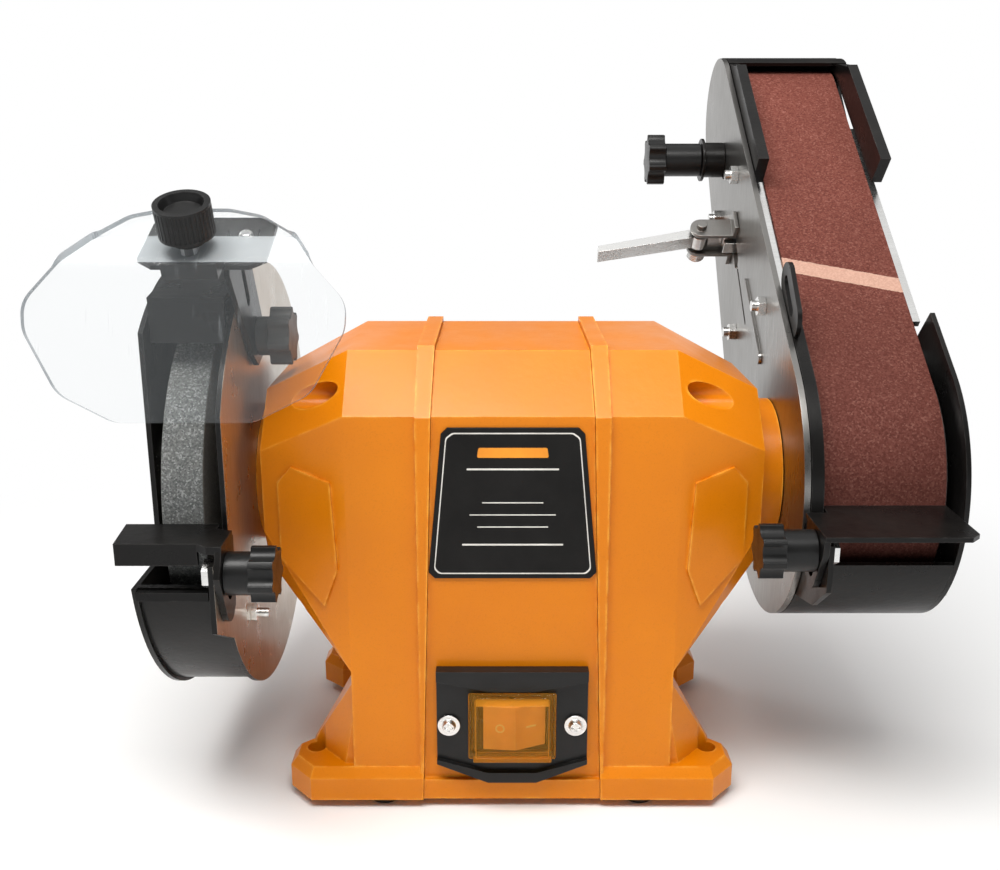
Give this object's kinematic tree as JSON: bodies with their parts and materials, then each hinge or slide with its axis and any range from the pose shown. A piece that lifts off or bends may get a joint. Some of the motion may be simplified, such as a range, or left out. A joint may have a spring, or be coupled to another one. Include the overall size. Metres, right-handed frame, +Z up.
{
  "type": "bench grinder",
  "caption": "Bench machine with a grinding wheel and eye shield on one end of its motor spindle and a swivelling narrow belt sander on the other.",
  "frame": {"origin": "centre of the four base bolt holes, on the underside of the castings; the rubber feet reach 4 mm lower", "axes": "+X along the spindle from the grinding wheel to the belt, +Y to the back, +Z up"},
  "size_m": [0.3511, 0.2946, 0.3129],
  "materials": {
    "orange_paint": "satin orange powder coat on cast aluminium",
    "black_paint": "satin",
    "black_plastic": "satin",
    "grey_paint": "satin",
    "bright_steel": "bright zinc",
    "lamination": "dull",
    "machined_alloy": "machined",
    "winding_copper": "enamelled",
    "foot_rubber": "matt",
    "grinding_stone": "coarse grain",
    "abrasive_cloth": "coarse grit",
    "blotter_paper": "paper",
    "clear_plastic": "clear",
    "amber_plastic": "translucent",
    "nameplate_black": "gloss",
    "capacitor_can": "smooth",
    "knob_grey": "satin"
  },
  "bodies": {
    "housing": {"centre_shell": "orange_paint", "left_casting": "orange_paint", "right_casting": "orange_paint", "housing_bolts": "bright_steel", "bottom_cover": "bright_steel", "base_screws": "bright_steel", "rubber_feet": "foot_rubber", "nameplate": "nameplate_black", "switch_bezel": "black_plastic", "switch_screws": "bright_steel", "switch_body": "black_plastic", "switch_cover": "clear_plastic", "capacitor": "capacitor_can", "cord_gland": "black_plastic", "stator_core": "lamination", "windings": "winding_copper", "outer_rings": "bright_steel", "left_guard": "black_paint", "guard_screws": "bright_steel", "left_cover": "black_paint", "clamp_ring": "bright_steel", "clamp_screws": "bright_steel"},
    "spindle": {"shaft": "bright_steel", "rotor": "lamination", "inner_rings": "bright_steel", "bearing_balls": "bright_steel", "grinding_wheel": "grinding_stone", "wheel_blotters": "blotter_paper", "wheel_flanges": "bright_steel", "spindle_nuts": "bright_steel", "belt_drum": "machined_alloy"},
    "arrestor": {"spark_arrestor": "black_paint"},
    "bracket": {"shield_bracket": "black_paint", "bracket_rivets": "bright_steel", "shield_clamp": "black_plastic"},
    "bracket_knob": {"bracket_knob": "knob_grey"},
    "shield": {"eye_shield": "clear_plastic"},
    "shield_knob": {"shield_knob": "black_plastic"},
    "left_rest": {"left_rest": "black_paint"},
    "left_knob": {"left_rest_knob": "black_plastic"},
    "rocker": {"rocker": "amber_plastic"},
    "arm": {"arm_plate": "grey_paint", "arm_bolts": "bright_steel", "drum_guard": "black_paint", "drum_cover": "black_paint", "top_guard": "black_paint", "platen": "bright_steel", "sanding_belt": "abrasive_cloth", "lever_pivot": "bright_steel", "lever_spring": "bright_steel"},
    "lever": {"tension_lever": "bright_steel"},
    "carriage": {"idler_carriage": "bright_steel", "tracking_washers": "black_paint"},
    "tracking_knob": {"tracking_knob": "black_plastic"},
    "idler_mount": {"idler_axle": "bright_steel"},
    "idler": {"idler_bearings": "bright_steel", "idler_roller": "machined_alloy"},
    "right_rest": {"right_rest": "black_paint"},
    "right_knob": {"right_rest_knob": "black_plastic"}
  },
  "joints": [
    {"name": "spindle_spin", "type": "hinge", "parent": "housing", "child": "spindle", "pos_m": [0, 0, 0.125], "axis": [1, 0, 0], "continuous": true},
    {"name": "arm_swivel", "type": "hinge", "parent": "housing", "child": "arm", "pos_m": [0.1145, 0, 0.125], "axis": [1, 0, 0], "range_deg": [-44, 46]},
    {"name": "idler_spin", "type": "hinge", "parent": "idler_mount", "child": "idler", "pos_m": [0.147, 0.15757, 0.27717], "axis": [1, 0, 0], "continuous": true},
    {"name": "tension_lever", "type": "hinge", "parent": "arm", "child": "lever", "pos_m": [0.096, 0.09639, 0.21808], "axis": [0, 0.6947, -0.7193], "range_deg": [0, 30]},
    {"name": "carriage_slide", "type": "slide", "parent": "arm", "child": "carriage", "axis": [0, 0.7193, 0.6947], "range_m": [-0.0074, 0]},
    {"name": "tracking_turn", "type": "hinge", "parent": "carriage", "child": "tracking_knob", "pos_m": [0.09, 0.13524, 0.2556], "axis": [1, 0, 0], "range_deg": [-270, 90]},
    {"name": "idler_tilt", "type": "hinge", "parent": "carriage", "child": "idler_mount", "pos_m": [0.1173, 0.15757, 0.27717], "axis": [0, 0.6947, -0.7193], "range_deg": [-0.3, 0.8]},
    {"name": "arrestor_slide", "type": "slide", "parent": "housing", "child": "arrestor", "axis": [0, 0.9848, 0.1736], "range_m": [-0.004, 0.003]},
    {"name": "bracket_swing", "type": "hinge", "parent": "housing", "child": "bracket", "pos_m": [-0.1057, -0.02, 0.189], "axis": [1, 0, 0], "range_deg": [-30, 8]},
    {"name": "bracket_knob_turn", "type": "hinge", "parent": "housing", "child": "bracket_knob", "pos_m": [-0.095, -0.02, 0.189], "axis": [1, 0, 0], "range_deg": [0, 360]},
    {"name": "shield_slide", "type": "slide", "parent": "bracket", "child": "shield", "axis": [0, 0.9135, 0.4067], "range_m": [-0.003, 0.0015]},
    {"name": "shield_knob_turn", "type": "hinge", "parent": "bracket", "child": "shield_knob", "pos_m": [-0.115, -0.0735, 0.2297], "axis": [0, -0.4067, 0.9135], "range_deg": [0, 360]},
    {"name": "left_rest_slide", "type": "slide", "parent": "housing", "child": "left_rest", "axis": [0, -0.342, 0.9397], "range_m": [-0.002, 0.008]},
    {"name": "left_knob_turn", "type": "hinge", "parent": "housing", "child": "left_knob", "pos_m": [-0.095, -0.095, 0.115], "axis": [1, 0, 0], "range_deg": [0, 360]},
    {"name": "right_rest_slide", "type": "slide", "parent": "arm", "child": "right_rest", "axis": [0, -0.342, 0.9397], "range_m": [-0.002, 0.008]},
    {"name": "right_knob_turn", "type": "hinge", "parent": "arm", "child": "right_knob", "pos_m": [0.1, -0.08, 0.118], "axis": [1, 0, 0], "range_deg": [0, 360]},
    {"name": "switch_rocker", "type": "hinge", "parent": "housing", "child": "rocker", "pos_m": [0, -0.058, 0.035], "axis": [0, 0, 1], "range_deg": [-18, 0]}
  ],
  "couplings": [
    {"joint": "idler_spin", "follows": "spindle_spin", "ratio": 2.2605},
    {"joint": "carriage_slide", "follows": "tension_lever", "m_per_rad": -0.014},
    {"joint": "idler_tilt", "follows": "tracking_turn", "ratio": -0.0027778}
  ]
}
